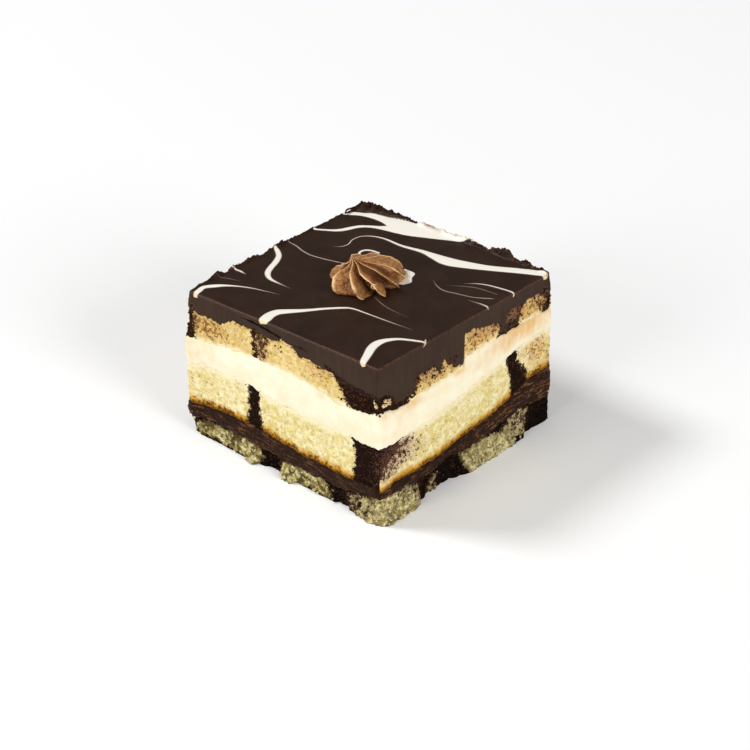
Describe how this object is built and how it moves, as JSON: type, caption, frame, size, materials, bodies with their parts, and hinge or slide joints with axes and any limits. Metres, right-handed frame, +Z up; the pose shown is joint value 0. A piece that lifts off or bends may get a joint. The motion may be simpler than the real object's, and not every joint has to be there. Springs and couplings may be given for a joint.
{
  "type": "layered cake square",
  "caption": "Square cut of layered tuxedo cake: marbled sponge, fudge, sponge, cream, sponge and a swirled ganache top with a piped chocolate rosette.",
  "frame": {"origin": "middle of the base, on the surface that the cake stands on", "axes": "+Z up; -Y out of the long cut face on the picture's left, +X out of the one on its right"},
  "size_m": [0.1115, 0.111, 0.0847],
  "materials": {
    "bottom_sponge": "open crumb of marbled sponge, pale green-yellow and dark chocolate",
    "fudge": "dark fudge smeared sideways by the knife",
    "middle_sponge": "open crumb of pale yellow sponge with chocolate plugs and a browned base",
    "cream": "smooth pale cream filling, wiped by the knife",
    "top_sponge": "open crumb of golden sponge with chocolate patches",
    "ganache": "satin dark ganache with white chocolate swirls on top",
    "rosette": "soft piped milk chocolate cream"
  },
  "bodies": {
    "root": {"bottom_sponge": "bottom_sponge", "fudge": "fudge", "middle_sponge": "middle_sponge", "cream": "cream", "top_sponge": "top_sponge", "ganache": "ganache", "rosette": "rosette"}
  },
  "joints": []
}
